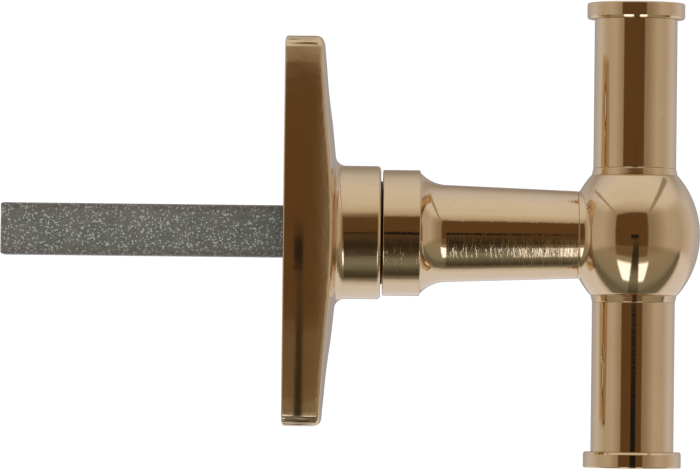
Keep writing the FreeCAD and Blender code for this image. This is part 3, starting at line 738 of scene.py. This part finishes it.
# Least share of a direction that still counts as in front or above, so that nothing divides by 0.
LEAST_SHARE = 0.05
SILL_TILT = -28
OPENING_TILT = (-15, 29.5)
OPENING_SIDEWAYS = (-0.72, 0.41)
CLOTH_TILT = (-61, -36)
CLOTH_SWING = (-36, 27)
LEFT_SEAM = (-1.30, -1.20)
RIGHT_SEAM = (0.74, 0.90)
STAND_TILT = (-96, -3.5)
STAND_LEFT = -0.03
STAND_WIDENING = 0.16
STAND_EDGE = 0.1015
ARM_EDGES = (0.1050, 0.1066)
LENS_SIDEWAYS = (-0.14, 0.10)
LENS_SLOPE = (-0.078, 0.014)

Ray = namedtuple("Ray", "across up front facing tilt swing height sideways slope")


def degrees(*angles):
    return [math.radians(angle) for angle in angles]


def by_angle(*stops):
    """Turns (degrees, colour) stops into stops for a ramp over radians."""
    return [(math.radians(angle), colour) for angle, colour in stops]


def tent_ray(tree):
    """The direction of the reflected ray, in the ways that the tent needs it."""
    parts = tree.new("ShaderNodeSeparateXYZ")
    tree.links.new(tree.new("ShaderNodeTexCoord").outputs["Generated"], parts.inputs[0])
    across, back, up = parts.outputs
    front = tree.math("MULTIPLY", back, -1.0)
    ahead = tree.math("MAXIMUM", front, LEAST_SHARE)
    return Ray(
        across=across,
        up=up,
        front=front,
        facing=tree.step(front, LEAST_SHARE, LEAST_SHARE),
        tilt=tree.math("ARCTAN2", up, front),
        swing=tree.math("ARCTAN2", across, front),
        height=tree.math("ARCSINE", up),
        sideways=tree.math("DIVIDE", across, ahead),
        slope=tree.math("DIVIDE", up, ahead),
    )


def cloth_around(tree, ray):
    """Pale cloth at the sides and above, darker behind."""
    walls = tree.ramp(tree.math("ABSOLUTE", ray.swing), 0.0, math.pi, by_angle(
        (0, (0.30, 0.25, 0.18)),
        (31, (0.32, 0.27, 0.20)),
        (42, (0.41, 0.35, 0.27)),
        (60, (0.56, 0.51, 0.45)),
        (88, (0.52, 0.48, 0.42)),
        (104, (0.61, 0.59, 0.58)),
        (120, (0.66, 0.68, 0.76)),
        (150, (0.50, 0.50, 0.54)),
        (180, (0.35, 0.31, 0.29)),
    ))
    ceiling = tree.ramp(ray.tilt, 0.0, math.pi, by_angle(
        (20, (0.45, 0.38, 0.29)),
        (38, (0.62, 0.58, 0.49)),
        (48, (0.75, 0.74, 0.70)),
        (80, PALE),
        (104, (0.71, 0.73, 0.79)),
        (118, (0.62, 0.63, 0.67)),
        (134, (0.45, 0.43, 0.42)),
        (158, (0.27, 0.21, 0.16)),
    ))
    upper = tree.step(ray.height, *degrees(30, 16))
    return tree.mix(upper, walls, ceiling)


def add_table(tree, ray, colour):
    """The table below: dim in front, white cloth under and behind the part."""
    table = tree.ramp(ray.tilt, -math.pi, 0.0, by_angle(
        (-180, WHITE_SIDE),
        (-108, WHITE_SIDE),
        (-98, (0.62, 0.64, 0.62)),
        (-92, (0.20, 0.18, 0.15)),
        (-78, (0.16, 0.15, 0.12)),
        (-64, (0.30, 0.29, 0.24)),
        (-30, (0.36, 0.31, 0.23)),
        (-15, (0.27, 0.21, 0.14)),
    ))
    lower = tree.math("SUBTRACT", 1.0, tree.step(ray.height, *degrees(-14, 8)))
    return tree.mix(lower, colour, table)


def add_bright_cloth(tree, ray, colour):
    """A bright cloth lies on the table in front. The stand later parts it in two."""
    along = tree.band(ray.tilt, *degrees(*CLOTH_TILT, 5))
    spread = tree.band(ray.swing, *degrees(*CLOTH_SWING, 4))
    return tree.mix(tree.math("MULTIPLY", along, spread), colour, BRIGHT_CLOTH)


def add_seams(tree, ray, colour):
    """Dark seams where the ceiling meets the two side walls."""
    lean = tree.math("DIVIDE", ray.across, tree.math("MAXIMUM", ray.up, LEAST_SHARE))
    seams = tree.math("ADD", tree.band(lean, *LEFT_SEAM, 0.05), tree.band(lean, *RIGHT_SEAM, 0.06))
    overhead = tree.math("MULTIPLY", tree.step(ray.up, 0.30, 0.1), tree.step(ray.front, -0.3, 0.2))
    return tree.mix(tree.math("MULTIPLY", seams, overhead), colour, SEAM)


def add_opening(tree, ray, colour):
    """The tent's open front, and the dim table top just inside it."""
    soft = math.radians(3.5)
    open_up = tree.band(ray.tilt, *degrees(*OPENING_TILT), soft)
    open_across = tree.band(ray.sideways, *OPENING_SIDEWAYS, 0.07)
    opening = tree.math("MULTIPLY", tree.math("MULTIPLY", open_up, open_across), ray.facing)
    colour = tree.mix(opening, colour, OPENING)
    inside = tree.band(ray.tilt, *degrees(SILL_TILT, OPENING_TILT[0]), soft)
    sill = tree.math("MULTIPLY", inside, open_across)
    return tree.mix(tree.math("MULTIPLY", sill, ray.facing), colour, SILL)


def add_stand(tree, ray, colour):
    """The camera's stand below the lens, wider towards its foot, with a thin arm beside it."""
    below = tree.math("MINIMUM", ray.slope, 0.0)
    left_edge = tree.math("MULTIPLY_ADD", below, STAND_WIDENING, STAND_LEFT)
    past_left = tree.step(tree.math("SUBTRACT", ray.sideways, left_edge), 0.0, 0.02)
    stand = tree.math("MULTIPLY", past_left, ray.facing)
    left_of_edge = tree.math("SUBTRACT", 1.0, tree.step(ray.across, STAND_EDGE, 0.003))
    stand = tree.math("MULTIPLY", stand, left_of_edge)
    stand = tree.math("MULTIPLY", stand, tree.band(ray.tilt, *degrees(*STAND_TILT, 2)))
    stand_colour = tree.ramp(ray.tilt, -math.pi / 2, 0.0, by_angle(
        (-90, (0.10, 0.083, 0.071)),
        (-80, (0.067, 0.061, 0.043)),
        (-70, (0.125, 0.128, 0.097)),
        (-60, GREY_STAND),
        (-51, (0.23, 0.22, 0.18)),
        (-43, (0.11, 0.10, 0.07)),
        (-36, DARK_STAND),
        (-24, (0.035, 0.028, 0.018)),
        (-14, (0.055, 0.040, 0.024)),
        (-5, (0.10, 0.065, 0.035)),
    ))
    colour = tree.mix(stand, colour, stand_colour)
    arm = tree.band(ray.across, *ARM_EDGES, 0.0008)
    arm = tree.math("MULTIPLY", arm, tree.band(ray.tilt, *degrees(CLOTH_TILT[0], 0), 0.03))
    return tree.mix(tree.math("MULTIPLY", arm, ray.facing), colour, DARK_STAND)


def add_lens(tree, ray, colour):
    wide = tree.band(ray.sideways, *LENS_SIDEWAYS, 0.02)
    tall = tree.band(ray.slope, *LENS_SLOPE, 0.014)
    lens = tree.math("MULTIPLY", wide, tall)
    return tree.mix(tree.math("MULTIPLY", lens, ray.facing), colour, LENS)


def light_tent():
    """A soft tent that only reflections and light see. The camera sees plain white."""
    world = bpy.data.worlds.new("light_tent")
    world.use_nodes = True
    bpy.context.scene.world = world
    world.node_tree.nodes.clear()
    tree = Tree(world.node_tree)
    ray = tent_ray(tree)
    colour = cloth_around(tree, ray)
    for addition in (add_table, add_bright_cloth, add_seams, add_opening, add_stand, add_lens):
        colour = addition(tree, ray, colour)
    tent = tree.new("ShaderNodeBackground")
    tree.feed(tent.inputs["Color"], colour)
    backdrop = tree.new("ShaderNodeBackground")
    backdrop.inputs["Color"].default_value = (1, 1, 1, 1)
    backdrop.inputs["Strength"].default_value = BACKDROP_STRENGTH
    choice = tree.new("ShaderNodeMixShader")
    tree.links.new(tree.new("ShaderNodeLightPath").outputs["Is Camera Ray"], choice.inputs[0])
    tree.links.new(tent.outputs[0], choice.inputs[1])
    tree.links.new(backdrop.outputs[0], choice.inputs[2])
    tree.links.new(choice.outputs[0], tree.new("ShaderNodeOutputWorld").inputs["Surface"])


# Stage and camera.

FLOOR_RADIUS = 0.7
FLOOR_DROP = 0.09
FLOOR_CORNERS = 96
# The floor is solid inside the first share of its radius and gone outside the second.
FLOOR_FADE = (0.45, 0.98)

CAMERA_DISTANCE = 0.77
CAMERA_HEIGHT = -16 * MM
CAMERA_ROLL = math.radians(0.65)
SENSOR_WIDTH = 36.0
VIEW_WIDTH = 95.11 * MM
VIEW_MIDDLE = Vector((9.0 * MM, 0, -0.29 * MM))


def make_floor():
    """A round paper floor well below the part."""
    build = bmesh.new()
    bmesh.ops.create_circle(build, cap_ends=True, segments=FLOOR_CORNERS, radius=FLOOR_RADIUS)
    mesh = bpy.data.meshes.new("floor")
    build.to_mesh(mesh)
    build.free()
    floor = bpy.data.objects.new("floor", mesh)
    floor.location = (BAR_X / 2, 0, CAP_LOW.z - CAP_HIGH.z - FLOOR_DROP)
    bpy.context.scene.collection.objects.link(floor)
    mesh.materials.append(paper("floor_paper"))
    floor.visible_glossy = False


def make_camera():
    """Looks along +Y from the height of the T-bar's lower half, close enough to show depth."""
    eye = Vector((VIEW_MIDDLE.x, -CAMERA_DISTANCE, CAMERA_HEIGHT))
    camera = bpy.data.cameras.new("camera")
    camera.sensor_width = SENSOR_WIDTH
    camera.lens = SENSOR_WIDTH * CAMERA_DISTANCE / VIEW_WIDTH
    camera.clip_start, camera.clip_end = 0.01, 20
    view = bpy.data.objects.new("camera", camera)
    view.matrix_world = (
        Matrix.Translation(eye)
        @ (VIEW_MIDDLE - eye).to_track_quat("-Z", "Y").to_matrix().to_4x4()
        @ Matrix.Rotation(CAMERA_ROLL, 4, "Z")
    )
    bpy.context.scene.collection.objects.link(view)
    bpy.context.scene.camera = view


# Everything together.


def finish_piece(piece, body, node, material):
    piece.data.materials.clear()
    piece.data.materials.append(material)
    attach(piece, body)
    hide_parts(node)


def dress(node, material):
    """Gives a carried-over CAD node a finished material."""
    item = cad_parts[node]
    for index in range(len(item.material_slots)):
        item.material_slots[index].material = material
    if not item.material_slots:
        item.data.materials.append(material)


def make_handle(brass_x, brass_z):
    neck = turned("neck", "X", neck_profile())
    finish_piece(neck, "handle", "handle_neck", brass_x)
    finish_piece(make_ball(), "handle", "grip_ball", brass_z)
    outlines = (("foot_ring", foot_ring_profile), ("arm", arm_profile), ("end_cap", cap_profile))
    for side, sign in (("upper", 1), ("lower", -1)):
        for kind, outline in outlines:
            piece = turned(f"{side}_{kind}_turned", "Z", outline(sign), (BAR_X, 0, 0))
            finish_piece(piece, "handle", f"{side}_{kind}", brass_z)


def make_mechanism():
    turned_steel = plain_metal("bright_steel_look", grey(0.42), grey(0.66), 0.18, (1.0, 0.1, 0.1))
    spring = plain_metal("spring_steel_look", SPRING_DARK, SPRING_LIGHT, 0.25, (1.0, 0.1, 1.0))
    zinc = zinc_plating()
    finish_piece(make_spindle(), "handle", "square_spindle", zinc)
    dress("cover_plate", zinc)
    dress("journal_bush", black_nylon())
    for node in ("spindle_pin", "neck_stud", "tie_rod", "detent_cam", "thrust_washer", "cover_screws"):
        dress(node, turned_steel)
    for node in ("upper_detent_spring", "lower_detent_spring", "retaining_ring"):
        dress(node, spring)


def main():
    scene = bpy.context.scene
    scene.view_settings.view_transform = "Standard"
    brass_x = polished_brass("brass_turned_about_x", (1.0, 0.03, 0.03), 0.10, 0.055)
    brass_z = polished_brass("brass_turned_about_z", (0.03, 0.03, 1.0), 0.025, 0.055)
    brass_rose = polished_brass("brass_rose", (1.0, 1.0, 0.06), 0.03, 0.11)
    make_handle(brass_x, brass_z)
    finish_piece(make_rose(), "rose", "rose_plate", brass_rose)
    make_mechanism()
    light_tent()
    make_floor()
    make_camera()


main()
